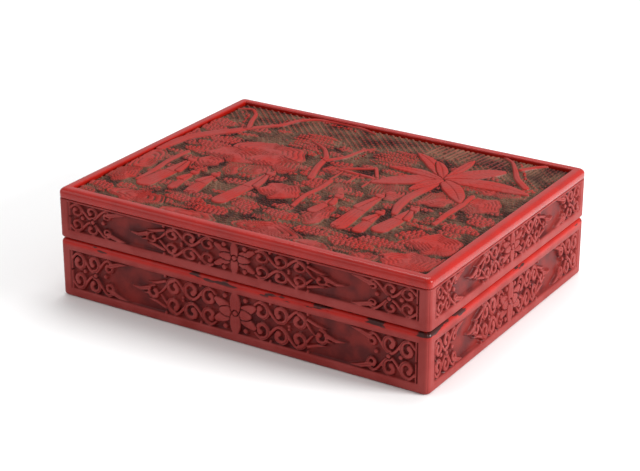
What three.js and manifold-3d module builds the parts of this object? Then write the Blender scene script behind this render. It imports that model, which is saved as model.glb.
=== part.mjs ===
// A rectangular lacquer box with a lift-off lid.
// Each half is a carcase of mitred wood boards under a thick red coat, carved on the
// outside and lined with plain black lacquer. A lip stands up inside the base, and
// the lid comes down over it. Millimetres, +Z up, origin under the middle of the base.
import * as THREE from "three";
import { mergeVertices } from "three/addons/utils/BufferGeometryUtils.js";
import Module from "manifold-3d";

const wasm = await Module();
wasm.setup();

// Outer sizes
const boxLength = 270; // along X
const boxDepth = 210; // along Y
const baseHeight = 40;
const lidHeight = 33.5;
const seamGap = 0.5; // between the base's shoulder and the lid's rim
const cornerRadius = 3.5; // of the upright corners
const edgeRound = 1.5; // of the base's edges and the lid's rim
const rimRound = 3; // of the lid's top edge

// Coats, boards and linings, from the outside in
const coatThickness = 4.5; // side coat, before it is carved
const coatReturn = 1; // where the coat turns in over the boards' edges
const topCoatThickness = 6.5;
const undersideThickness = 0.75;
const lidBoardThickness = 4.5;
const bottomBoardThickness = 6;
const topBoardThickness = 5.5;
const liningThickness = 0.75;
const lipThickness = 3;
const lipRise = 6; // above the shoulder
const lidClearance = 0.75; // all round, between the lid's lining and the lip
const beddingGap = 0.25; // glue and cloth between two layers
const mitreGap = 0.4; // along X, at each mitre

// The sunk fields and the plates that stand for their carving
const sunkDepth = 2.5;
const plateShy = 0.4; // how far the plates stay below the frame's face
const plateBite = 0.6; // how far they run in under the frame
const topRimWidth = 7;
const stileWidth = 7;
const baseTopRail = 7;
const baseBottomRail = 6;
const lidTopRail = 1;
const lidBottomRail = 6;
const medallionLength = 118; // on the long sides
const sideMedallionLength = 92; // on the short sides
const cornerPlateReach = 34;
const cornerPlateWaist = 15;
const outlineSteps = 14;

// Places that follow from those sizes
const halfLength = boxLength / 2;
const halfDepth = boxDepth / 2;
const boardInset = coatThickness + beddingGap;
const lidLiningInset = boardInset + lidBoardThickness + beddingGap;
const lipInset = lidLiningInset + liningThickness + lidClearance;
const baseBoardThickness = lipInset - beddingGap - boardInset;
const baseLiningInset = lipInset + lipThickness + beddingGap;
const boardFoot = undersideThickness + beddingGap;
const floorTop = boardFoot + bottomBoardThickness;
const lipFoot = floorTop + beddingGap;
const lipTop = baseHeight + lipRise;
const sideCoatHeight = lidHeight - topCoatThickness - beddingGap;
const topBoardFoot = sideCoatHeight - topBoardThickness;
const lidWallTop = topBoardFoot - beddingGap;

const carvedRed = new THREE.MeshStandardMaterial({ color: 0x9c2a24, roughness: 0.42, metalness: 0 });
const rimRed = new THREE.MeshStandardMaterial({ color: 0xb02115, roughness: 0.25, metalness: 0 });
const plainBlack = new THREE.MeshStandardMaterial({ color: 0x1a1210, roughness: 0.3, metalness: 0 });
const bareWood = new THREE.MeshStandardMaterial({ color: 0x9a7448, roughness: 0.8, metalness: 0 });

// A closed geometry as a solid that can be cut and joined, and back again
function toSolid(geometry) {
  const bare = geometry.clone();
  bare.deleteAttribute("normal");
  bare.deleteAttribute("uv");
  const merged = mergeVertices(bare, 1e-4);
  return new wasm.Manifold(
    new wasm.Mesh({
      numProp: 3,
      vertProperties: merged.attributes.position.array,
      triVerts: new Uint32Array(merged.index.array),
    }),
  );
}

function toGeometry(solid) {
  const mesh = solid.getMesh();
  const geometry = new THREE.BufferGeometry();
  geometry.setAttribute("position", new THREE.BufferAttribute(mesh.vertProperties, 3));
  geometry.setIndex(new THREE.BufferAttribute(mesh.triVerts, 1));
  geometry.computeVertexNormals();
  return geometry;
}

function named(name, geometry, material) {
  const mesh = new THREE.Mesh(geometry, material);
  mesh.name = name;
  return mesh;
}

// A block on the box's centre line, drawn in from the outer faces by inset
function insetBlock(inset, bottom, top) {
  const block = new THREE.BoxGeometry(boxLength - 2 * inset, boxDepth - 2 * inset, top - bottom);
  return block.translate(0, 0, (bottom + top) / 2);
}

// A flat outline pushed up from bottom to top
function prism(points, bottom, top) {
  const shape = new THREE.Shape(points.map(([x, y]) => new THREE.Vector2(x, y)));
  const geometry = new THREE.ExtrudeGeometry(shape, { depth: top - bottom, bevelEnabled: false });
  return geometry.translate(0, 0, bottom);
}

// The whole outer block of a half, with round upright corners and round edges
function roundedBlock(height, round) {
  const length = halfLength - round;
  const depth = halfDepth - round;
  const radius = Math.max(cornerRadius - round, 0.5);
  const shape = new THREE.Shape();
  shape.moveTo(-length + radius, -depth);
  shape.lineTo(length - radius, -depth);
  shape.absarc(length - radius, -depth + radius, radius, -Math.PI / 2, 0);
  shape.lineTo(length, depth - radius);
  shape.absarc(length - radius, depth - radius, radius, 0, Math.PI / 2);
  shape.lineTo(-length + radius, depth);
  shape.absarc(-length + radius, depth - radius, radius, Math.PI / 2, Math.PI);
  shape.lineTo(-length, -depth + radius);
  shape.absarc(-length + radius, -depth + radius, radius, Math.PI, 1.5 * Math.PI);
  const geometry = new THREE.ExtrudeGeometry(shape, {
    depth: height - 2 * round,
    bevelThickness: round,
    bevelSize: round,
    bevelSegments: 3,
    curveSegments: 4,
  });
  return geometry.translate(0, 0, round);
}

// The four sides, each with its half width across and its distance from the middle
const sides = [
  { name: "front", turn: 0, across: halfLength, out: halfDepth, gap: mitreGap },
  { name: "right", turn: Math.PI / 2, across: halfDepth, out: halfLength, gap: 0 },
  { name: "back", turn: Math.PI, across: halfLength, out: halfDepth, gap: mitreGap },
  { name: "left", turn: -Math.PI / 2, across: halfDepth, out: halfLength, gap: 0 },
];

// A board's mitred plan, facing -Y, whose outer face lies inset from the box's face
function mitredPlan(side, inset, thickness) {
  const outer = side.across - inset - side.gap;
  const face = -side.out + inset;
  return [
    [-outer, face],
    [outer, face],
    [outer - thickness, face + thickness],
    [-outer + thickness, face + thickness],
  ];
}

function wallBoards(half, kind, inset, thickness, bottom, top, material) {
  for (const side of sides) {
    const geometry = prism(mitredPlan(side, inset, thickness), bottom, top);
    const board = named(`${half.name}_${kind}_${side.name}`, geometry, material);
    board.rotation.z = side.turn;
    half.add(board);
  }
}

// The upper edge of the lobed medallion, as a height for each place along it
function medallionOutline(length, height) {
  const upper = [];
  for (let i = 0; i <= outlineSteps; i++) {
    const along = -1 + (2 * i) / outlineSteps;
    const swell = Math.pow(1 - along * along, 0.7);
    const lobes = 1 - 0.12 * Math.abs(Math.sin(3 * Math.PI * along));
    upper.push([(along * length) / 2, (swell * lobes * height) / 2]);
  }
  const lower = upper.slice(1, -1).reverse();
  return [...upper, ...lower.map(([x, z]) => [x, -z])];
}

// The corner plate runs from the stile to a hollow edge with a point at each rail
function cornerOutline(height) {
  const edge = [];
  for (let i = 0; i <= outlineSteps; i++) {
    const up = -1 + (2 * i) / outlineSteps;
    const reach = cornerPlateWaist + (cornerPlateReach - cornerPlateWaist) * Math.pow(Math.abs(up), 1.6);
    edge.push([reach, (up * height) / 2]);
  }
  return [...edge, [-plateBite, height / 2], [-plateBite, -height / 2]];
}

// A sunk field in a side coat, with the plates that its carving is cut from
function carveSide(coat, side, medallion, bottom, top) {
  const half = side.across - stileWidth;
  const ground = -side.out + sunkDepth;
  const height = top - bottom;
  const middle = (top + bottom) / 2;
  const field = new THREE.BoxGeometry(2 * half, 2 * sunkDepth, height).translate(0, -side.out, middle);
  let carved = coat.subtract(toSolid(field));
  const plateHeight = height + 2 * plateBite;
  const outlines = [
    medallionOutline(medallion, plateHeight),
    cornerOutline(plateHeight).map(([x, z]) => [x - half, z]),
    cornerOutline(plateHeight).map(([x, z]) => [half - x, z]).reverse(),
  ];
  for (const outline of outlines) {
    const plate = prism(outline, -sunkDepth / 2, sunkDepth - plateShy);
    plate.rotateX(Math.PI / 2).translate(0, ground, middle);
    carved = carved.add(toSolid(plate));
  }
  return carved;
}

// The red coat of a half: a ring that turns in over the boards' edge at one end
function sideCoats(half, block, height, returnZ, returnInset, medallions, bottomRail, topRail) {
  const inner = toSolid(insetBlock(coatThickness, -1, height + 1));
  const way = toSolid(insetBlock(returnInset, -1, height + 1));
  const returnPlate = toSolid(insetBlock(coatThickness / 2, returnZ, returnZ + coatReturn));
  const ring = block.subtract(inner).add(returnPlate.intersect(block)).subtract(way);
  for (const side of sides) {
    const reach = 2 * lipInset; // past the coat's inner edge
    const plan = mitredPlan(side, 0, reach);
    const wedge = toSolid(prism(plan, -1, height + 1).rotateZ(side.turn));
    const coat = toSolid(toGeometry(ring.intersect(wedge)).rotateZ(-side.turn));
    const length = side.gap ? medallions[0] : medallions[1];
    const carved = carveSide(coat, side, length, bottomRail, height - topRail);
    const mesh = named(`${half.name}_carved_coat_${side.name}`, toGeometry(carved), carvedRed);
    mesh.rotation.z = side.turn;
    half.add(mesh);
  }
}

const medallions = [medallionLength, sideMedallionLength];

// The base, from the underside up
const base = new THREE.Group();
base.name = "base";
base.add(named("base_underside", insetBlock(boardInset, 0, undersideThickness), plainBlack));
base.add(named("base_bottom_board", insetBlock(lipInset, boardFoot, floorTop), bareWood));
const baseBlock = toSolid(roundedBlock(baseHeight, edgeRound));
const shoulderFoot = baseHeight - coatReturn;
sideCoats(base, baseBlock, baseHeight, shoulderFoot, lipInset - beddingGap, medallions, baseBottomRail, baseTopRail);
wallBoards(base, "board", boardInset, baseBoardThickness, boardFoot, shoulderFoot - beddingGap, bareWood);
wallBoards(base, "lip", lipInset, lipThickness, lipFoot, lipTop, plainBlack);
const trayOutside = toSolid(insetBlock(baseLiningInset, lipFoot, lipTop + beddingGap + liningThickness));
const lipCap = toSolid(insetBlock(lipInset, lipTop + beddingGap, lipTop + beddingGap + liningThickness));
const trayInside = toSolid(
  insetBlock(baseLiningInset + liningThickness, lipFoot + liningThickness, lipTop + 2 * lipRise),
);
base.add(named("base_lining", toGeometry(trayOutside.add(lipCap).subtract(trayInside)), plainBlack));

// The lid, built from its rim up and set down over the lip
const lid = new THREE.Group();
lid.name = "lid";
lid.position.z = baseHeight + seamGap;
const lidBlock = toSolid(roundedBlock(lidHeight, edgeRound)).subtract(
  toSolid(insetBlock(-1, sideCoatHeight, lidHeight + 1)),
);
sideCoats(lid, lidBlock, sideCoatHeight, 0, lidLiningInset - beddingGap, medallions, lidBottomRail, lidTopRail);
wallBoards(lid, "board", boardInset, lidBoardThickness, coatReturn + beddingGap, lidWallTop, bareWood);
lid.add(named("lid_top_board", insetBlock(boardInset, topBoardFoot, sideCoatHeight), bareWood));
const hoodOutside = toSolid(insetBlock(lidLiningInset, 0, lidWallTop));
const hoodInside = toSolid(insetBlock(lidLiningInset + liningThickness, -1, lidWallTop - liningThickness));
lid.add(named("lid_lining", toGeometry(hoodOutside.subtract(hoodInside)), plainBlack));
const topSlab = toSolid(roundedBlock(2 * topCoatThickness, rimRound))
  .subtract(toSolid(insetBlock(-1, -1, topCoatThickness)))
  .subtract(toSolid(insetBlock(topRimWidth, 2 * topCoatThickness - sunkDepth, 2 * topCoatThickness + 1)));
const topCoat = named("lid_carved_top", toGeometry(topSlab), rimRed);
topCoat.position.z = lidHeight - 2 * topCoatThickness;
lid.add(topCoat);

const lacquerBox = new THREE.Group();
lacquerBox.add(base, lid);

export default lacquerBox;
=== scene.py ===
import math

import bpy
import numpy as np
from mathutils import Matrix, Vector


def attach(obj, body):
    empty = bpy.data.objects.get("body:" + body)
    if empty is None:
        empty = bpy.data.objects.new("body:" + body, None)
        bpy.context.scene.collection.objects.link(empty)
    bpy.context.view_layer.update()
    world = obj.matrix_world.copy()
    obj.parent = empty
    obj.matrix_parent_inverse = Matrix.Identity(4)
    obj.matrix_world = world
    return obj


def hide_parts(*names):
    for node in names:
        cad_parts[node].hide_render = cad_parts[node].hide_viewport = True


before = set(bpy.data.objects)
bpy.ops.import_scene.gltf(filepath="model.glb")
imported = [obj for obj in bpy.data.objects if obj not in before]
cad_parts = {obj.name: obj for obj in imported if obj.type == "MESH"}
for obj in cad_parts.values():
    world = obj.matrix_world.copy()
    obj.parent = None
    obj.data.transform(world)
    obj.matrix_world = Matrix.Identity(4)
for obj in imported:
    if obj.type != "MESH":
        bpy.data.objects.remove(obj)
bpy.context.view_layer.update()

# Sizes are in millimetres and are turned into metres where points are made
mm = 0.001
box = {
    "halfLength": 135.0,
    "halfDepth": 105.0,
    "baseHeight": 40.0,
    "lidFoot": 40.5,
    "lidSide": 26.75,
    "topFoot": 67.5,
    "topFace": 74.0,
    "cornerRadius": 3.5,
    "cornerReach": 12.0,
    "stile": 7.0,
    "pitch": 0.42,
    "sunk": 2.5,
}


# Shader graphs are written as sums of these wrapped sockets
class Value:
    def __init__(self, tree, socket):
        self.tree = tree
        self.socket = socket

    def math(self, operation, *others):
        node = self.tree.nodes.new("ShaderNodeMath")
        node.operation = operation
        for place, item in zip(node.inputs, (self, *others)):
            if isinstance(item, Value):
                self.tree.links.new(item.socket, place)
            else:
                place.default_value = item
        return Value(self.tree, node.outputs[0])

    def __add__(self, other):
        return self.math("ADD", other)

    def __radd__(self, other):
        return self + other

    def __sub__(self, other):
        return self.math("SUBTRACT", other)

    def __rsub__(self, other):
        return self * -1.0 + other

    def __mul__(self, other):
        return self.math("MULTIPLY", other)

    def __rmul__(self, other):
        return self * other

    def smooth(self, low, high):
        node = self.tree.nodes.new("ShaderNodeMapRange")
        node.interpolation_type = "SMOOTHSTEP"
        self.tree.links.new(self.socket, node.inputs["Value"])
        node.inputs["From Min"].default_value = low
        node.inputs["From Max"].default_value = high
        return Value(self.tree, node.outputs["Result"])


class Graph:
    def __init__(self, name):
        self.material = bpy.data.materials.new(name)
        self.material.use_nodes = True
        self.tree = self.material.node_tree
        self.shader = self.tree.nodes["Principled BSDF"]

    def node(self, kind, output=0, links=None, **settings):
        made = self.tree.nodes.new(kind)
        for key, item in settings.items():
            setattr(made, key, item)
        for key, item in (links or {}).items():
            if isinstance(item, Value):
                self.tree.links.new(item.socket, made.inputs[key])
            else:
                made.inputs[key].default_value = item
        return Value(self.tree, made.outputs[output])

    def noise(self, scale, detail=4.0, stretch=(1.0, 1.0, 1.0)):
        place = self.node("ShaderNodeTexCoord", "Object")
        place = self.node("ShaderNodeMapping", 0, {"Vector": place, "Scale": stretch})
        links = {"Vector": place, "Scale": scale, "Detail": detail}
        return self.node("ShaderNodeTexNoise", "Fac", links)

    def attribute(self, name):
        return self.node("ShaderNodeAttribute", "Fac", attribute_name=name)

    # The colour mix takes its colours at inputs 6 and 7 and gives its result at output 2
    def mix(self, factor, first, second):
        made = self.tree.nodes.new("ShaderNodeMix")
        made.data_type = "RGBA"
        for place, item in ((made.inputs[0], factor), (made.inputs[6], first), (made.inputs[7], second)):
            if isinstance(item, Value):
                self.tree.links.new(item.socket, place)
            elif isinstance(item, tuple):
                place.default_value = (*item, 1.0)
            else:
                place.default_value = item
        return Value(self.tree, made.outputs[2])

    def finish(self, color, roughness, bump, distance, constants):
        self.tree.links.new(color.socket, self.shader.inputs["Base Color"])
        self.tree.links.new(roughness.socket, self.shader.inputs["Roughness"])
        links = {"Height": bump, "Distance": distance, "Strength": 0.6}
        normal = self.node("ShaderNodeBump", 0, links)
        self.tree.links.new(normal.socket, self.shader.inputs["Normal"])
        for key, item in constants.items():
            self.shader.inputs[key].default_value = item
        return self.material


brush = {"fineScale": 1400.0, "streakScale": 60.0, "wearScale": 160.0, "wearStretch": (0.35, 0.35, 1.6)}


# Red lacquer: cut is 1 on the crests and 0 at the bottom. Where shine is 1 the colour turns a brighter red,
# partly the polished band and partly a painted highlight, and worn spots show only there
def lacquer(name, look):
    graph = Graph(name)
    cut = graph.attribute("cut")
    shine = graph.attribute("shine")
    mottle = graph.noise(look["mottleScale"], 5.0)
    fine = graph.noise(brush["fineScale"], 3.0)
    streak = graph.noise(brush["streakScale"], 4.0)
    ground = graph.mix(mottle.smooth(0.35, 0.68), look["ground"], look["groundDust"])
    crest = graph.mix(streak.smooth(0.35, 0.7), look["crest"], look["crestWarm"])
    color = graph.mix((cut + (fine - 0.5) * 0.2).smooth(0.45, 0.9), ground, crest)
    # painted highlight: the shine band gets a brighter red than the crests, laid over its own polished red
    bandPaintedHighlight = graph.mix(streak.smooth(0.3, 0.75), look["bandPaintedHighlight"], look["bandPaintedHighlightDeep"])
    color = graph.mix(shine, color, bandPaintedHighlight)
    wear = graph.noise(brush["wearScale"], 3.0, brush["wearStretch"])
    worn = (wear + shine * 0.08).smooth(0.66, 0.70) * shine
    color = graph.mix(worn * look["wornAmount"], color, look["worn"])
    roughness = look["rough"] + (mottle - 0.5) * 0.25 - shine * look["shineGloss"]
    constants = {"Coat Weight": look["coat"], "Coat Roughness": 0.16, "Specular IOR Level": 0.16}
    return graph.finish(color, roughness, fine + mottle, 0.00012, constants)


sideLook = {
    "mottleScale": 70.0,
    "ground": (0.075, 0.003, 0.003),
    "groundDust": (0.18, 0.012, 0.009),
    "crest": (0.27, 0.034, 0.030),
    "crestWarm": (0.22, 0.018, 0.015),
    # band red, brightened as a painted highlight
    "bandPaintedHighlight": (0.38, 0.010, 0.005),
    "bandPaintedHighlightDeep": (0.29, 0.009, 0.006),
    "worn": (0.012, 0.007, 0.006),
    "wornAmount": 0.9,
    "rough": 0.48,
    "coat": 0.06,
    "shineGloss": 0.16,
}
topLook = {
    "mottleScale": 55.0,
    "ground": (0.15, 0.075, 0.045),
    "groundDust": (0.030, 0.006, 0.004),
    "crest": (0.27, 0.028, 0.023),
    # band red, brightened as a painted highlight
    "crestWarm": (0.31, 0.013, 0.008),
    "bandPaintedHighlight": (0.35, 0.006, 0.002),
    "bandPaintedHighlightDeep": (0.28, 0.005, 0.002),
    "worn": (0.05, 0.01, 0.008),
    "wornAmount": 0.0,
    "rough": 0.56,
    "coat": 0.04,
    "shineGloss": 0.22,
}
sideRed = lacquer("side_red", sideLook)
topRed = lacquer("top_red", topLook)


blackLook = {
    "cloudScale": 35.0,
    "rubScale": 260.0,
    "rubStretch": (1.0, 0.2, 1.0),
    "deep": (0.010, 0.008, 0.008),
    "brown": (0.026, 0.017, 0.014),
    "rough": 0.22,
    "rubRough": 0.16,
    "coat": 0.4,
}
woodLook = {
    "grainScale": 60.0,
    "grainStretch": (0.12, 0.12, 1.6),
    "poreScale": 500.0,
    "poreStretch": (0.1, 0.1, 1.0),
    "light": (0.36, 0.20, 0.09),
    "dark": (0.22, 0.11, 0.045),
    "rough": 0.6,
    "poreRough": 0.25,
}


def blackLacquer(look):
    graph = Graph("black_lacquer")
    cloud = graph.noise(look["cloudScale"], 4.0)
    rub = graph.noise(look["rubScale"], 3.0, look["rubStretch"])
    color = graph.mix(cloud.smooth(0.35, 0.7), look["deep"], look["brown"])
    constants = {"Coat Weight": look["coat"], "Coat Roughness": 0.12}
    return graph.finish(color, look["rough"] + rub * look["rubRough"], rub, 0.00005, constants)


def wood(look):
    graph = Graph("bare_wood")
    grain = graph.noise(look["grainScale"], 6.0, look["grainStretch"])
    pores = graph.noise(look["poreScale"], 3.0, look["poreStretch"])
    color = graph.mix(grain.smooth(0.3, 0.7), look["light"], look["dark"])
    roughness = look["rough"] + pores * look["poreRough"]
    return graph.finish(color, roughness, grain + pores, 0.0002, {"Coat Weight": 0.0})


blackCoat = blackLacquer(blackLook)
bareWood = wood(woodLook)
for name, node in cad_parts.items():
    node.data.materials.clear()
    node.data.materials.append(bareWood if "board" in name else blackCoat)
print("materials done")


def ease(values):
    values = np.clip(values, 0.0, 1.0)
    return values * values * (3.0 - 2.0 * values)


# A disc is a stroke of the first length, and the second is the depth far from any stroke
tiny = 0.01
farOutside = -9.0


# A carved surface as heights in millimetres over a grid
class Relief:
    def __init__(self, xs, ys):
        self.xs = xs
        self.ys = ys
        self.x, self.y = np.meshgrid(xs, ys, indexing="ij")
        self.height = np.zeros(self.x.shape)

    def window(self, low, high):
        columns = slice(*np.searchsorted(self.xs, (low[0], high[0])))
        rows = slice(*np.searchsorted(self.ys, (low[1], high[1])))
        return columns, rows

    def around(self, x, y, rx, ry, margin=2.0):
        return self.window((x - rx - margin, y - ry - margin), (x + rx + margin, y + ry + margin))

    # How far inside a tapering stroke each grid point lies
    def inside(self, points, widths, margin=1.0):
        points = np.asarray(points, float)
        widths = np.broadcast_to(np.asarray(widths, float), (len(points),)) / 2.0
        reach = widths.max() + margin
        spot = self.window(points.min(0) - reach, points.max(0) + reach)
        x, y = self.x[spot], self.y[spot]
        best = np.full(x.shape, farOutside)
        for a, b, wa, wb in zip(points[:-1], points[1:], widths[:-1], widths[1:]):
            step = b - a
            along = ((x - a[0]) * step[0] + (y - a[1]) * step[1]) / max(step @ step, 1e-9)
            along = np.clip(along, 0.0, 1.0)
            gap = np.hypot(x - a[0] - along * step[0], y - a[1] - along * step[1])
            best = np.maximum(best, wa + (wb - wa) * along - gap)
        return spot, best

    # Raises a shape and clears a narrow moat round it, so that it stands off its neighbours
    def stand(self, spot, depth, top, moat=0.5, edge=0.45, dome=0.12, join=False):
        old = self.height[spot]
        new = top * ease(depth / edge) + dome * np.clip(depth, 0.0, 2.0)
        apart = np.where(depth > 0.0, new, old * ease(-depth / moat))
        self.height[spot] = np.where(depth > 0.0, np.maximum(old, new), old) if join else apart

    def stroke(self, points, widths, top, **more):
        self.stand(*self.inside(points, widths), top, **more)

    def disc(self, x, y, radius, top, **more):
        self.stroke([(x, y), (x + tiny, y)], 2.0 * radius, top, **more)

    def engrave(self, points, width=0.5, depth=0.4):
        spot, near = self.inside(points, width)
        self.height[spot] -= depth * ease((near + width / 2.0) / width) * (self.height[spot] > 0.3)

    # A band that curls inward to a round head, with a groove along its outer edge
    def scroll(self, x, y, radius, start, turn, top, stretch):
        t = np.linspace(0.0, 1.0, scrollShape["points"])
        angle = start + turn * t * scrollShape["sweep"]
        across, up = stretch * np.cos(angle), np.sin(angle)
        band = radius * scrollShape["band"]
        outer = radius - band / 2.0
        curl = ease((t - scrollShape["curlFrom"]) / (1.0 - scrollShape["curlFrom"]))
        spiral = outer - (outer - radius * scrollShape["eye"]) * curl
        path = np.stack([x + spiral * across, y + spiral * up], 1)
        self.stroke(path, band * (0.95 + 0.35 * t), top, join=True)
        head = radius * scrollShape["head"] * (1 + stretch) / 2
        self.disc(*path[-1], head, top + 0.1, join=True)
        rim = outer + band * 0.12
        groove = np.stack([x + rim * across, y + rim * up], 1)[t < scrollShape["grooveEnd"]]
        self.engrave(groove, 0.5, 0.8)

    # A petal with three veins
    def petal(self, direction, length, width, top):
        t = np.linspace(0.0, 1.0, 9)
        along = np.array([math.cos(direction), math.sin(direction)])
        path = length * t[:, None] * along
        self.stroke(path, width * np.sin(math.pi * (0.10 + 0.76 * t)) ** 0.6, top)
        for side in (-0.22, 0.0, 0.22):
            shift = np.array([-along[1], along[0]]) * width * side
            self.engrave(path[2:-2] + shift, 0.4, 0.3)


scrollShape = {
    "points": 30,
    "sweep": 5.5,
    "band": 0.46,
    "curlFrom": 0.42,
    "eye": 0.22,
    "head": 0.33,
    "grooveEnd": 0.75,
}
panel = {
    "top": 2.2,
    "tier": 0.25,
    "scroll": 0.245,
    "swing": 0.8,
    "first": 19.0,
    "step": 13.4,
    "medallionSizes": (0.96, 1.0, 0.94),
    "bud": 1.25,
    "cornerStep": 11.8,
    "cornerSizes": (0.98, 0.94, 0.74),
    "cornerLift": 0.5,
    "cornerBud": 1.7,
    "flowerRoom": 9.0,
    "flowerBud": 1.9,
}


# Scrolls in a row, each curling off the stem on its hollow side
def scrollRow(relief, sx, sz, start, step, tier, lift, radius, sizes):
    way = -1 if step > 0 else 1
    stretch = abs(step) / (2.0 * radius)
    for count, size in enumerate(sizes):
        over = -1 if count % 2 else 1
        place = (sx * (start + step * count), sz * (tier + lift * count))
        turn = way * sx * sz * over
        angle = sz * over * math.pi / 2
        relief.scroll(*place, radius * size, angle, turn, panel["top"], stretch)


# One half of the medallion, from the flower out to its flame
def carveMedallion(relief, sx, height, shrink):
    top = panel["top"]
    tier = height * panel["tier"]
    radius = height * panel["scroll"]
    first = panel["first"] * shrink
    step = panel["step"] * shrink
    stretch = step / (2.0 * radius)
    t = np.linspace(-0.9, 3.0, 60)
    swing = np.where(t > 2.0, 0.55, panel["swing"]) * radius * np.cos(math.pi * t)
    drop = tier * (1.0 - 0.55 * ease(t - 2.0))
    widths = np.interp(t, (-0.9, 0.0, 2.4, 3.0), (1.0, 2.6, 2.4, 1.2))
    for sz in (-1, 1):
        relief.stroke(np.stack([sx * (first + step * t), sz * (drop + swing)], 1), widths, top)
    for sz in (-1, 1):
        scrollRow(relief, sx, sz, first, step, tier, 0.0, radius, panel["medallionSizes"])
        for count in range(3):
            over = 1 if count % 2 else -1
            bud = (sx * (first + step * (count + 0.5)), sz * (tier - over * radius * 0.86))
            relief.disc(*bud, panel["bud"], top, join=True)
        ends = ((2.5, 0.33), (3.0, 0.24), (3.6, 0.2))
        tail = [(sx * (first + out * step), sz * height * up) for out, up in ends]
        relief.stroke(tail, (2.4, 2.4, 0.5), top, join=True)
    last = first + 3.15 * step
    relief.scroll(sx * last, 0.0, radius * 0.86, math.pi / 2, -sx, top, stretch)
    tip = last + radius * 0.6 * stretch
    flame = [(sx * tip, 1.6), (sx * (tip + 7.0 * shrink), -0.4), (sx * (tip + 15.0 * shrink), 0.5)]
    relief.stroke(flame, (3.6, 2.6, 0.5), top, join=True)
    relief.stroke([(sx * tip, -1.8), (sx * (tip + 6.0 * shrink), -3.0)], (2.2, 0.5), top, join=True)
    relief.engrave(flame[:2], 0.4, 0.6)


# The cluster in both corners beside one stile, with a tongue along each rail
def carveCorners(relief, sx, half, height, shrink):
    top = panel["top"]
    tier = height * panel["tier"]
    radius = height * panel["scroll"]
    gap = panel["cornerStep"] * (0.35 + 0.65 * shrink)
    edge = half - panel["step"] * shrink / 2.0 - 0.4
    besideStile = sx * (half - 1.4)
    t = np.linspace(-0.4, 2.4, 40)
    stem = tier + panel["swing"] * radius * np.cos(math.pi * t)
    widths = np.interp(t, (-0.4, 2.0, 2.4), (2.4, 2.2, 1.2))
    root = edge - gap * 2.3
    for sz in (-1, 1):
        relief.stroke([(besideStile, sz * 0.9), (besideStile, sz * height * 0.47)], 1.8, top)
        relief.stroke(np.stack([sx * (edge - gap * t), sz * stem], 1), widths, top, join=True)
        lift = panel["cornerLift"]
        scrollRow(relief, sx, sz, edge, -gap, tier, lift, radius, panel["cornerSizes"])
        tongue = [(sx * (root + 2), sz * height * 0.33), (sx * (root - 5 * shrink), sz * height * 0.42)]
        tongue.append((sx * (root - 13 * shrink), sz * height * 0.465))
        relief.stroke(tongue, (3.6, 3.0, 0.5), top, join=True)
        relief.engrave(tongue[:2], 0.4, 0.6)
    for count in range(3):
        place = (sx * (edge - gap * (count * 0.7 + 0.4)), 0.6 * (-1) ** count)
        relief.disc(*place, panel["cornerBud"], top)


# The flower in the middle, after what lies under it has been pressed down
def carveFlower(relief, height, shrink):
    top = panel["top"]
    relief.height *= np.where(np.abs(relief.x) < panel["flowerRoom"] * shrink, 0.35, 1.0)
    for angle in (25, 155, 205, 335, 0, 180):
        length = (15.0 if angle % 180 else 10.0) * (0.5 + 0.5 * shrink)
        relief.petal(math.radians(angle), length, height * 0.27, top)
    for x, y in ((1, 1), (-1, 1), (-1, -1), (1, -1)):
        relief.disc(x * 7.5 * shrink, y * height * 0.38, panel["flowerBud"], top)
    for angle in (90, 270):
        relief.petal(math.radians(angle), height * 0.46, height * 0.31, top + 0.1)
    relief.disc(0.0, 0.0, 1.9, top + 0.25)


# All the carving of one side panel, centred on its field
def carvePanel(relief, half, height, shrink):
    for sx in (-1, 1):
        carveMedallion(relief, sx, height, shrink)
        carveCorners(relief, sx, half, height, shrink)
    carveFlower(relief, height, shrink)


# Side panels: each column of the outer face runs round a closed cross-section
sides = [
    {"name": "front", "turn": 0.0, "across": 135.0, "out": 105.0, "shrink": 1.0},
    {"name": "right", "turn": math.pi / 2, "across": 105.0, "out": 135.0, "shrink": 0.72},
    {"name": "back", "turn": math.pi, "across": 135.0, "out": 105.0, "shrink": 1.0},
    {"name": "left", "turn": -math.pi / 2, "across": 105.0, "out": 135.0, "shrink": 0.72},
]


# Positions along one side, and how far its rounded ends turn inward
def faceColumns(side, pitch):
    straight = side["across"] - box["cornerRadius"]
    count = int(2 * straight / pitch)
    xs = np.linspace(-straight, straight, count)
    bend = np.linspace(0.0, math.pi / 4, 6)[1:]
    dx = box["cornerRadius"] * np.sin(bend)
    inward = box["cornerRadius"] * (1.0 - np.cos(bend))
    xs = np.concatenate([-straight - dx[::-1], xs, straight + dx])
    return xs, np.concatenate([inward[::-1], np.zeros(count), inward])


# A row of points inset from a side's outer face, fanned so that two sides meet on the mitre
def facePoint(side, xs, inward, inset, z, deepest):
    shift = inset * (1.0 - inward / deepest)
    near = side["across"] - box["cornerReach"]
    fan = np.clip((np.abs(xs) - near) / (np.abs(xs).max() - near), 0.0, 1.0)
    x = xs - np.sign(xs) * fan * shift
    y = -side["out"] + inward + shift
    c, s = math.cos(side["turn"]), math.sin(side["turn"])
    return np.stack([x * c - y * s, x * s + y * c, z + 0.0 * x], -1) * mm


# A quarter round between two rows, upright at its start, or flat there when flipped
def arc(insetStart, zStart, insetEnd, zEnd, flip, count=6):
    t = np.linspace(0.0, math.pi / 2, count)
    a, b = (np.sin(t), 1 - np.cos(t)) if flip else (1 - np.cos(t), np.sin(t))
    return [(insetStart + (insetEnd - insetStart) * p, zStart + (zEnd - zStart) * q) for p, q in zip(a, b)]


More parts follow.
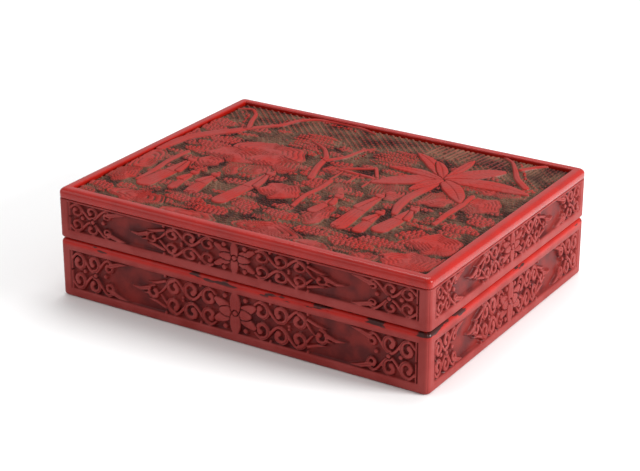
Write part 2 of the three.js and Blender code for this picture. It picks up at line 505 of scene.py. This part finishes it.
def makeObject(name, points, faces, material, attributes, smooth=True):
    mesh = bpy.data.meshes.new(name)
    mesh.from_pydata(points.tolist(), [], faces)
    for key, values in attributes.items():
        layer = mesh.attributes.new(key, "FLOAT", "POINT")
        layer.data.foreach_set("value", np.ascontiguousarray(values, np.float32))
    mesh.materials.append(material)
    mesh.polygons.foreach_set("use_smooth", [smooth] * len(mesh.polygons))
    mesh.validate()
    made = bpy.data.objects.new(name, mesh)
    bpy.context.scene.collection.objects.link(made)
    return made


# Quads over a grid of points, each column closed into a ring when wrapped
def gridFaces(columns, rows, wrap):
    c = np.arange(columns - 1)[:, None]
    r = np.arange(rows if wrap else rows - 1)[None, :]
    after = (r + 1) % rows
    quads = np.stack([c * rows + r, (c + 1) * rows + r, (c + 1) * rows + after, c * rows + after], -1)
    return quads.reshape(-1, 4).tolist()


baseSide = {
    "foot": 0.0,
    "height": box["baseHeight"],
    "low": 6.0,
    "high": 33.0,
    "deepest": 10.7,
    "topRound": 3.0,
    "shineFrom": 35.2,
}
lidSide = {
    "foot": box["lidFoot"],
    "height": box["lidSide"],
    "low": 6.0,
    "high": 25.75,
    "deepest": 9.2,
    "topRound": 0.35,
    "shineFrom": box["lidSide"],
}
field = {"overlap": 0.3, "wall": 0.5, "leastSunk": 0.05, "shineBlend": 2.0}


# Rows of a cross-section below and above the field, as inset and height
def baseRows():
    top, deepest, bend = baseSide["height"], baseSide["deepest"], baseSide["topRound"]
    below = [(4.5, 0.0)] + arc(2.0, 0.0, 0.0, 2.0, True) + [(0.0, 4.0)]
    above = [(0.0, 34.5), (0.0, 36.0)] + arc(0.0, top - bend, bend, top, False, 9)
    above += [(6.0, top), (deepest, top), (deepest, top - 1.0), (4.5, top - 1.0)]
    return below, above


def lidRows():
    top, deepest, bend = lidSide["height"], lidSide["deepest"], lidSide["topRound"]
    below = [(4.5, 1.0), (deepest, 1.0), (deepest, 0.0), (3.0, 0.0)]
    below += arc(1.6, 0.0, 0.0, 1.6, True) + [(0.0, 4.0)]
    return below, [(0.0, top - bend), (bend, top), (4.5, top)]


def sidePiece(name, side, shape, below, above):
    xs, inward = faceColumns(side, box["pitch"])
    low, high = shape["low"], shape["high"]
    zs = np.arange(low - field["overlap"], high + field["overlap"], box["pitch"])
    half = side["across"] - box["stile"]
    relief = Relief(xs, zs - (low + high) / 2.0)
    carvePanel(relief, half, high - low, side["shrink"])
    inField = ease((half - np.abs(relief.x)) / field["wall"])
    inField = inField * ease(((high - low) / 2.0 - np.abs(relief.y)) / field["wall"])
    depth = np.clip(box["sunk"] - relief.height, field["leastSunk"], None) * inField
    rows = below + [(None, z) for z in zs] + above
    points = []
    cut = []
    shine = []
    for index, (inset, z) in enumerate(rows):
        sunk = depth[:, index - len(below)] if inset is None else inset
        points.append(facePoint(side, xs, inward, sunk, z + shape["foot"], shape["deepest"]))
        cut.append(1.0 - sunk / box["sunk"] if inset is None else np.ones(len(xs)))
        # shine marks the top band, which gets the painted highlight red and the worn spots
        shine.append(ease(np.full(len(xs), (z - shape["shineFrom"]) / field["shineBlend"])))
    points = np.stack(points, 1).reshape(-1, 3)
    faces = gridFaces(len(xs), len(rows), True)
    last = (len(xs) - 1) * len(rows)
    faces.append(list(range(len(rows))))
    faces.append([last + r for r in reversed(range(len(rows)))])
    attributes = {"cut": np.stack(cut, 1).ravel(), "shine": np.stack(shine, 1).ravel()}
    return makeObject(name, points, faces, sideRed, attributes)


for side in sides:
    piece = sidePiece(f"base_coat_{side['name']}", side, baseSide, *baseRows())
    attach(piece, "base")
    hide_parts(f"base_carved_coat_{side['name']}")
    piece = sidePiece(f"lid_coat_{side['name']}", side, lidSide, *lidRows())
    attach(piece, "lid")
    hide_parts(f"lid_carved_coat_{side['name']}")
print("side panels done")


# The bright rim round the lid's top, its brighter red partly a painted highlight
rim = {"width": 7.0, "round": 3.2, "innerRound": 1.0, "chamfer": 0.6, "step": 2.0}


def rimPiece():
    foot, face = box["topFoot"], box["topFace"]
    width, outer, inner, chamfer = rim["width"], rim["round"], rim["innerRound"], rim["chamfer"]
    rows = [(width, foot), (chamfer, foot), (0.0, foot + chamfer), (0.0, face - outer)]
    rows += arc(0.0, face - outer, outer, face, False, 10)[1:]
    rows += arc(width - inner, face, width, face - inner, True, 6)
    columns = []
    for side in sides:
        xs, inward = faceColumns(side, rim["step"])
        ring = [facePoint(side, xs, inward, inset, z, width) for inset, z in rows]
        columns.append(np.stack(ring, 1)[:-1])
    points = np.concatenate(columns)
    count = len(points)
    points = points.reshape(-1, 3)
    faces = gridFaces(count + 1, len(rows), True)
    total = count * len(rows)
    faces = [[corner % total for corner in face] for face in faces]
    # the whole rim carries the shine band's painted highlight red
    ones = np.ones(total)
    return makeObject("top_rim", points, faces, rimRed, {"cut": ones, "shine": ones})


rimLook = dict(topLook, rough=0.45, coat=0.35)
rimRed = lacquer("rim_red", rimLook)
rimObject = rimPiece()
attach(rimObject, "lid")
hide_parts("lid_carved_top")


# The scene on the lid, in millimetres from the middle of the top
rockLook = {"ring": 2.2, "ringDepth": 1.15, "hatch": 1.5, "hatchDepth": 0.8, "dome": 0.08}
leafLook = {"flat": 0.72, "sway": 0.7, "size": 0.62, "soft": 0.35, "top": 2.25}
plantainLook = {"droop": 0.08, "teeth": 15, "bite": 0.16, "veins": range(6, 30, 3), "veinReach": 0.36}
robe = {
    "waist": 0.45,
    "elbow": 0.2,
    "hand": 0.38,
    "sleeve": (3.0, 4.6, 5.2),
    "folds": (-0.3, -0.1, 0.1, 0.3),
}
headShape = {"radius": 3.4, "lift": 3.6, "bunRadius": 1.7, "bunLift": 7.4}
grass = {"spacing": 1.9, "length": 7.5, "slant": 2.4, "widths": (1.3, 0.5), "top": 2.0}
backdrop = {"top": 1.75, "skyLine": 62.0, "cell": 5.2, "wave": 3.2, "dot": 3.4}
thicket = {"count": 130, "left": -122, "long": 244, "near": -94, "deep": 158, "steps": (0.754878, 0.569840)}


# A lobed boulder with rings inside its edge and hatching on one flank
def rock(relief, x, y, rx, ry, top):
    spot = relief.around(x, y, rx, ry)
    dx, dy = relief.x[spot] - x, relief.y[spot] - y
    angle = np.arctan2(dy, dx)
    wobble = 1.0 + 0.10 * np.sin(2 * angle + x) + 0.09 * np.sin(5 * angle + y) + 0.05 * np.sin(9 * angle)
    small = min(rx, ry)
    depth = (1.0 - np.hypot(dx / rx, dy / ry) * wobble) * small
    relief.stand(spot, depth, top, dome=rockLook["dome"])
    rings = (0.5 - 0.5 * np.cos(2 * math.pi * depth / rockLook["ring"])) ** 3 * (depth > 0.5)
    fade = (0.75 + 0.25 * np.sin(2 * angle + x)) * ease((small * 0.85 - depth) / 2.0)
    relief.height[spot] -= rockLook["ringDepth"] * rings * fade
    hatch = 0.5 - 0.5 * np.cos(2 * math.pi * (dx * 0.5 + dy) / rockLook["hatch"])
    flank = ease((0.8 * math.sin(x) - np.sin(angle - y)) / 0.4)
    relief.height[spot] -= rockLook["hatchDepth"] * hatch * (depth > 0.4) * flank


# Leaf scales in staggered rows within a lobed outline
def leaves(relief, x, y, rx, ry, top, cell=3.3):
    spot = relief.around(x, y, rx, ry)
    px = relief.x[spot]
    py = relief.y[spot] + leafLook["sway"] * np.sin(px / 3.1 + y)
    tall = cell * leafLook["flat"]
    row = np.floor(py / tall)
    u = px / cell + 0.5 * (row % 2) + 0.25 * np.sin(row * 1.7)
    du = u - np.floor(u) - 0.5
    dv = py / tall - row - 0.5
    scale = ease((leafLook["size"] - np.hypot(du, dv * 0.8 + 0.1)) / leafLook["soft"])
    angle = np.arctan2(py - y, px - x)
    reach = np.hypot((px - x) / rx, (py - y) / ry) * (1.0 + 0.12 * np.sin(5 * angle + x))
    inside = ease((1.0 - reach) * min(rx, ry) / 1.2)
    raised = inside * top * (0.35 + 0.65 * scale)
    relief.height[spot] = np.where(inside > 0.02, raised, relief.height[spot])


# A trunk or twig along a smoothed line, grooved down its middle
def branch(relief, points, widths, top):
    points = np.asarray(points, float)
    knots = range(len(points))
    t = np.linspace(0.0, len(points) - 1.0, 6 * len(points))
    path = np.stack([np.interp(t, knots, points[:, k]) for k in (0, 1)], 1)
    for _ in range(3):
        path[1:-1] = (path[:-2] + path[1:-1] * 2 + path[2:]) / 4.0
    relief.stroke(path, np.interp(t, knots, widths), top, dome=0.25)
    relief.engrave(path, 0.4, 0.25)


# Long leaves from one root, with toothed edges, a midrib and slanting veins
def plantain(relief, x, y, tips, top):
    t = np.linspace(0.0, 1.0, 34)
    teeth = 1.0 + plantainLook["bite"] * ((t * plantainLook["teeth"]) % 1.0 - 0.5)
    taper = np.sin(math.pi * (0.06 + 0.88 * t)) ** 0.8
    for tx, ty, width in tips:
        length = math.hypot(tx - x, ty - y)
        droop = np.sin(math.pi * t) * plantainLook["droop"] * length
        path = np.stack([x + (tx - x) * t, y + (ty - y) * t + droop], 1)
        relief.stroke(path, width * taper * teeth, top)
        relief.engrave(path[2:-3], 0.6, 0.55)
        side = np.array([-(ty - y), tx - x]) / length
        for k in plantainLook["veins"]:
            for way in (-1, 1):
                end = path[k + 2] + side * way * width * plantainLook["veinReach"]
                relief.engrave([path[k], end], 0.35, 0.25)


# A robed figure: long body, one sleeve, plain round head with a bun, belt and folds
def figure(relief, x, y, height, width, lean, top):
    foot = (x - lean, y - height)
    waist = (x, y - height * robe["waist"])
    neck = (x + lean * 0.4, y)
    relief.stroke([foot, waist, neck], (width, width * 0.8, width * 0.55), top)
    elbow = (x + lean * 1.6, y - height * robe["elbow"])
    hand = (x + lean * 2.2, y - height * robe["hand"])
    relief.stroke([neck, elbow, hand], robe["sleeve"], top + 0.15)
    relief.disc(neck[0], y + headShape["lift"], headShape["radius"], top + 0.3)
    relief.disc(neck[0], y + headShape["bunLift"], headShape["bunRadius"], top + 0.2)
    belt = [(waist[0] - width * 0.4, waist[1]), (waist[0] + width * 0.4, waist[1] - 1.5)]
    relief.engrave(belt, 0.6, 0.7)
    for offset in robe["folds"]:
        shift = offset * width
        relief.engrave([(foot[0] + shift, foot[1] + 2), (waist[0] + shift, waist[1])], 0.45, 0.4)


def tufts(relief, x, y, count):
    for k in range(count):
        start = (x + k * grass["spacing"], y + 0.5 * math.sin(k * 2.1))
        end = (start[0] + grass["slant"], start[1] + grass["length"])
        relief.stroke([start, end], grass["widths"], grass["top"], moat=0.3)


# A flowered lattice for the sky, and wavy dotted lines for the land in front of it
def carveGround(relief):
    x, y = relief.x, relief.y
    u = (x + y) / backdrop["cell"]
    v = (x - y) / backdrop["cell"]
    du = u - np.floor(u) - 0.5
    dv = v - np.floor(v) - 0.5
    petals = 0.30 + 0.09 * np.cos(4 * np.arctan2(dv, du))
    floret = ease((petals - np.hypot(du, dv)) / 0.12)
    lattice = ease((np.maximum(np.abs(du), np.abs(dv)) - 0.42) / 0.05)
    sky = np.maximum(floret, 0.6 * lattice)
    bent = y + 1.3 * np.sin(x / 5.0) + 0.8 * np.sin(x / 2.3 + y / 4.0)
    waves = 0.5 + 0.5 * np.cos(2 * math.pi * bent / backdrop["wave"])
    along = x + 1.6 * np.floor(bent / backdrop["wave"]) + 0.9 * np.sin(y / 3.7)
    dots = 0.5 + 0.5 * np.cos(2 * math.pi * along / backdrop["dot"])
    land = waves * (0.3 + 0.7 * dots)
    skyLine = backdrop["skyLine"] + 6 * np.sin(x / 24.0)
    relief.height = backdrop["top"] * np.where(y > skyLine, sky, land)


# Clusters spread evenly over the land, hanging twigs, and two crowns built up in rows
def carveFoliage(relief):
    stepX, stepY = thicket["steps"]
    for k in range(thicket["count"]):
        x = thicket["left"] + thicket["long"] * (k * stepX % 1.0)
        y = thicket["near"] + thicket["deep"] * (k * stepY % 1.0)
        leaves(relief, x, y, 10 + 3 * math.sin(k), 4.2 + math.cos(k * 2.0), 2.0)
    for k in range(15):
        tip = (30 + k * 3.8, 74 + 5 * math.sin(k * 1.3))
        relief.stroke([(tip[0] + 4, 98), tip], (2.6, 1.6), 1.4)
    for k in range(13):
        tip = (88 + k * 2.9, 66 + 3 * math.sin(k))
        relief.stroke([(92 + k * 2.7, 98), tip], (1.6, 1.1), 1.3)
    for k in range(7):
        y = 44 + k * 4.0
        spread = 24 - abs(k - 3) * 2
        leaves(relief, -44 + 3 * math.sin(k), y, spread, 3.0, 2.1, 2.8)
        leaves(relief, 20 + 3 * math.cos(k), y + 2, spread, 3.0, 2.0, 2.6)


# A small pavilion: a peaked roof over a beam on three posts
def carvePavilion(relief):
    relief.stroke([(-2, 22), (18, 34), (28, 18)], 3.0, 2.4)
    relief.stroke([(-2, 20), (28, 18)], 3.2, 2.4)
    for post in (2, 14, 26):
        relief.stroke([(post, 18), (post, 2)], 1.8, 2.2)


# Where things stand: x and y first, then the size of each
clusters = [
    (-122, 56, 15, 8), (-118, 44, 14, 7), (-128, 30, 8, 9), (-98, 28, 14, 7), (-98, 16, 15, 7),
    (-100, 4, 14, 6), (0, -8, 12, 9), (-14, 8, 8, 10), (112, -27, 14, 7), (118, -10, 10, 8),
    (96, -50, 12, 9), (100, -62, 12, 7), (80, -70, 18, 7), (66, -80, 18, 7), (-56, -74, 18, 6),
    (-36, -80, 18, 7), (8, -64, 14, 7), (-20, -62, 10, 8), (36, -76, 14, 6), (-118, -82, 12, 6),
]
rocks = [
    (-58, 26, 26, 14, 2.0), (-76, 6, 18, 12, 2.2), (-44, 8, 20, 13, 2.2), (-84, -12, 9, 11, 2.1),
    (-62, -14, 9, 10, 2.0), (-48, -8, 12, 9, 2.0), (14, -8, 13, 9, 1.8), (26, -52, 9, 15, 2.3),
    (78, 10, 12, 14, 2.0), (45, 4, 16, 12, 1.9), (104, 12, 14, 14, 2.1), (-14, -32, 13, 14, 2.3),
    (-120, -30, 9, 24, 2.1), (-118, -58, 11, 12, 2.2), (-86, -86, 24, 9, 2.3), (-40, -93, 20, 6, 2.1),
    (14, -88, 28, 9, 2.4), (50, -93, 14, 5, 2.1), (112, -56, 15, 16, 2.4), (110, -86, 19, 13, 2.5),
    (84, -92, 11, 6, 2.1), (-2, 18, 11, 8, 1.8), (102, 40, 26, 8, 2.0),
]
trunks = [
    ([(-126, -8), (-122, 18), (-112, 34), (-102, 45), (-96, 56)], (9, 8, 9, 8, 6), 2.4),
    ([(-97, 54), (-90, 62), (-80, 72), (-76, 86), (-66, 95), (-50, 97), (-30, 96), (-16, 91)],
     (5.5, 4.5, 4.2, 4, 3.6, 3.2, 2.6, 1.6), 2.3),
    ([(-97, 56), (-103, 68), (-108, 82), (-116, 90), (-126, 86)], (4.5, 4, 3.4, 2.8, 1.6), 2.2),
    ([(-10, -2), (-17, 18), (-20, 34), (-30, 48), (-46, 57)], (5.5, 5, 4.4, 3.4, 1.6), 2.3),
    ([(-18, 30), (-10, 42), (-8, 56), (-2, 66)], (4, 3.4, 2.6, 1.4), 2.2),
    ([(116, 54), (104, 66), (96, 80), (88, 92), (78, 98)], (5.5, 4.8, 4, 3, 2), 2.3),
    ([(99, 82), (106, 92), (112, 98)], (4, 3.4, 2.6), 2.3),
    ([(64, 38), (63, 20), (60, 2), (62, -14), (66, -26)], (6, 6.5, 7, 7, 5), 2.3),
    ([(94, 24), (95, 8), (94, -10), (95, -28)], (4, 5, 5, 4), 2.2),
    ([(4, 0), (5, -14), (3, -30), (6, -48)], (4.2, 4.2, 4, 4), 2.2),
    ([(-106, -4), (-107, -24), (-104, -44), (-104, -62)], (5, 5, 5, 4), 1.8),
]
plantainTips = [
    (28, 73, 10), (46, 66, 8), (66, 80, 7), (92, 72, 14), (122, 44, 14), (92, 10, 13),
    (28, 12, 15), (24, 42, 9), (54, 14, 9),
]
people = [
    (-94, -20, 44, 13, 2.0), (-64, -34, 28, 10, -2.0), (-36, -14, 50, 12, 2.0), (-78, -38, 24, 7, -1.5),
    (45, -10, 50, 12, -2.0), (73, -18, 34, 12, 2.0), (59, -34, 26, 9, -1.5), (22, -24, 24, 8, 1.5),
]
grassSpots = [
    (-76, -70, 9), (-30, -56, 6), (-60, -86, 8), (-6, -76, 6), (34, -70, 7), (60, -92, 10),
    (84, -80, 6), (-134, -92, 9), (98, -74, 5), (84, -30, 5), (-92, -76, 5),
]


# Later things stand in front of earlier ones
def carveScene(relief):
    carveGround(relief)
    carveFoliage(relief)
    for place in clusters:
        leaves(relief, *place, leafLook["top"])
    for place in rocks:
        rock(relief, *place)
    for points, widths, top in trunks:
        branch(relief, points, widths, top)
    plantain(relief, 65, 38, plantainTips, 2.5)
    carvePavilion(relief)
    for place in people:
        figure(relief, *place, 2.3)
    for place in grassSpots:
        tufts(relief, *place)


scene = {
    "pitch": 0.45,
    "ground": 70.7,
    "foot": 67.6,
    "highest": 73.9,
    "inset": 6.9,
    "crest": 2.3,
    "rimGap": 0.6,
    "rimFade": 1.2,
}


# One tile of the scene: its carved top, a skirt round it and a flat bottom
def tilePiece(name, relief, columns, rows):
    x, y = relief.x[columns, rows], relief.y[columns, rows]
    rise = relief.height[columns, rows]
    top = np.stack([x, y, np.minimum(scene["ground"] + rise, scene["highest"])], -1)
    nx, ny = x.shape
    low = top.copy()
    low[..., 2] = scene["foot"]
    ring = [(0, r) for r in range(ny)] + [(c, ny - 1) for c in range(1, nx)]
    ring += [(nx - 1, r) for r in range(ny - 2, -1, -1)] + [(c, 0) for c in range(nx - 2, 0, -1)]
    count = nx * ny
    skirt = np.array([low[spot] for spot in ring])
    points = np.concatenate([top.reshape(-1, 3), skirt]) * mm
    faces = gridFaces(nx, ny, False)
    for k, (c, r) in enumerate(ring):
        following = (k + 1) % len(ring)
        c2, r2 = ring[following]
        faces.append([c * ny + r, c2 * ny + r2, count + following, count + k])
    faces.append([count + k for k in range(len(ring))])
    cut = np.concatenate([np.clip(rise / scene["crest"], 0.0, 1.0).ravel(), np.zeros(len(ring))])
    tile = makeObject(name, points, faces, topRed, {"cut": cut, "shine": np.zeros(len(cut))})
    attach(tile, "lid")
    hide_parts("lid_carved_top")


halfX = box["halfLength"] - scene["inset"]
halfY = box["halfDepth"] - scene["inset"]
sceneRelief = Relief(
    np.linspace(-halfX, halfX, int(2 * halfX / scene["pitch"])),
    np.linspace(-halfY, halfY, int(2 * halfY / scene["pitch"])),
)
carveScene(sceneRelief)
nearRim = np.minimum(halfX - np.abs(sceneRelief.x), halfY - np.abs(sceneRelief.y))
sceneRelief.height *= ease((nearRim - scene["rimGap"]) / scene["rimFade"])
midX = len(sceneRelief.xs) // 2
midY = len(sceneRelief.ys) // 2
tilePiece("scene_near_left", sceneRelief, slice(0, midX + 1), slice(0, midY + 1))
tilePiece("scene_near_right", sceneRelief, slice(midX, None), slice(0, midY + 1))
tilePiece("scene_far_left", sceneRelief, slice(0, midX + 1), slice(midY, None))
tilePiece("scene_far_right", sceneRelief, slice(midX, None), slice(midY, None))
print("lid scene done")


# Small buds set along the branches by a node tree
def budTree(material):
    tree = bpy.data.node_groups.new("buds", "GeometryNodeTree")
    face = tree.interface
    face.new_socket("Geometry", in_out="INPUT", socket_type="NodeSocketGeometry")
    sizeSocket = face.new_socket("Size", in_out="INPUT", socket_type="NodeSocketFloat")
    seedSocket = face.new_socket("Seed", in_out="INPUT", socket_type="NodeSocketInt")
    face.new_socket("Geometry", in_out="OUTPUT", socket_type="NodeSocketGeometry")
    nodes, links = tree.nodes, tree.links
    start = nodes.new("NodeGroupInput")
    end = nodes.new("NodeGroupOutput")
    bud = nodes.new("GeometryNodeMeshIcoSphere")
    bud.inputs["Subdivisions"].default_value = 2
    links.new(start.outputs["Size"], bud.inputs["Radius"])
    spread = nodes.new("FunctionNodeRandomValue")
    spread.data_type = "FLOAT_VECTOR"
    spread.inputs["Min"].default_value = (0.75, 0.75, 0.8)
    spread.inputs["Max"].default_value = (1.3, 1.1, 1.1)
    links.new(start.outputs["Seed"], spread.inputs["Seed"])
    place = nodes.new("GeometryNodeInstanceOnPoints")
    links.new(start.outputs["Geometry"], place.inputs["Points"])
    links.new(bud.outputs["Mesh"], place.inputs["Instance"])
    links.new(spread.outputs["Value"], place.inputs["Scale"])
    real = nodes.new("GeometryNodeRealizeInstances")
    links.new(place.outputs["Instances"], real.inputs["Geometry"])
    paint = nodes.new("GeometryNodeSetMaterial")
    paint.inputs["Material"].default_value = material
    links.new(real.outputs["Geometry"], paint.inputs["Geometry"])
    links.new(paint.outputs["Geometry"], end.inputs[0])
    return tree, sizeSocket.identifier, seedSocket.identifier


budLook = {"spacing": 2.6, "sway": 0.9, "height": 71.6, "radius": 1.05, "seed": 7, "cut": 0.9}


def budPiece():
    lines = [
        [(-90, 66), (-84, 76), (-80, 88), (-68, 96), (-50, 93), (-30, 91)],
        [(-108, 66), (-113, 80), (-122, 82)],
        [(-24, 34), (-36, 46), (-48, 53)],
        [(-4, 44), (-3, 58)],
        [(108, 70), (100, 84), (92, 95)],
    ]
    spots = []
    for line in lines:
        for (x1, y1), (x2, y2) in zip(line[:-1], line[1:]):
            count = int(math.hypot(x2 - x1, y2 - y1) / budLook["spacing"])
            for k in range(count):
                t = k / count
                sway = budLook["sway"] * math.sin(k * 2.3)
                spots.append((x1 + (x2 - x1) * t + sway, y1 + (y2 - y1) * t - sway, budLook["height"]))
    mesh = bpy.data.meshes.new("bud_points")
    mesh.from_pydata([(x * mm, y * mm, z * mm) for x, y, z in spots], [], [])
    made = bpy.data.objects.new("bud_points", mesh)
    bpy.context.scene.collection.objects.link(made)
    tree, sizeKey, seedKey = budTree(topRed)
    modifier = made.modifiers.new("buds", "NODES")
    modifier.node_group = tree
    modifier[sizeKey] = budLook["radius"] * mm
    modifier[seedKey] = budLook["seed"]
    graph = bpy.context.evaluated_depsgraph_get()
    plain = bpy.data.meshes.new_from_object(made.evaluated_get(graph))
    bpy.data.objects.remove(made)
    for key, value in (("cut", budLook["cut"]), ("shine", 0.0)):
        layer = plain.attributes.new(key, "FLOAT", "POINT")
        layer.data.foreach_set("value", [value] * len(plain.vertices))
    plain.polygons.foreach_set("use_smooth", [True] * len(plain.polygons))
    buds = bpy.data.objects.new("branch_buds", plain)
    bpy.context.scene.collection.objects.link(buds)
    return buds


buds = budPiece()
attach(buds, "lid")
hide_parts("lid_carved_top")
print("buds done")


# Floor, lights and camera
def floorMaterial():
    graph = Graph("floor_paper")
    cloud = graph.noise(3.0, 2.0)
    color = graph.mix(cloud, (0.88, 0.88, 0.88), (0.91, 0.91, 0.91))
    return graph.finish(color, 0.7 + cloud * 0.1, cloud, 0.0001, {"Specular IOR Level": 0.2})


floorSize = 5.0
corners = [(-floorSize, -floorSize, 0), (floorSize, -floorSize, 0), (floorSize, floorSize, 0)]
corners.append((-floorSize, floorSize, 0))
floor = makeObject("floor", np.array(corners), [[0, 1, 2, 3]], floorMaterial(), {}, False)

lamps = [
    {"name": "overhead", "at": (-0.2, 0.5, 1.5), "size": 1.0, "power": 13.0},
    {"name": "right", "at": (1.35, 0.25, 0.6), "size": 0.5, "power": 24.0},
    {"name": "left", "at": (-1.1, -1.2, 0.9), "size": 1.0, "power": 4.0},
]
aim = Vector((0.0, 0.0, 0.04))
for lamp in lamps:
    data = bpy.data.lights.new(lamp["name"], "AREA")
    data.size = lamp["size"]
    data.energy = lamp["power"]
    light = bpy.data.objects.new(lamp["name"], data)
    light.location = lamp["at"]
    towards = aim - Vector(lamp["at"])
    light.rotation_euler = towards.to_track_quat("-Z", "Y").to_euler()
    bpy.context.scene.collection.objects.link(light)

world = bpy.data.worlds.new("studio")
world.use_nodes = True
world.node_tree.nodes["Background"].inputs["Color"].default_value = (1.0, 1.0, 1.0, 1.0)
world.node_tree.nodes["Background"].inputs["Strength"].default_value = 0.62
bpy.context.scene.world = world

cameraData = bpy.data.cameras.new("camera")
cameraData.lens = 106.41
cameraData.sensor_width = 36.0
camera = bpy.data.objects.new("camera", cameraData)
camera.location = (0.59714, -0.96351, 0.51424)
looking = Vector((-0.487415, 0.781058, -0.390352))
camera.rotation_euler = looking.to_track_quat("-Z", "Y").to_euler()
bpy.context.scene.collection.objects.link(camera)
bpy.context.scene.camera = camera
bpy.context.scene.view_settings.view_transform = "Standard"

print("scene done")
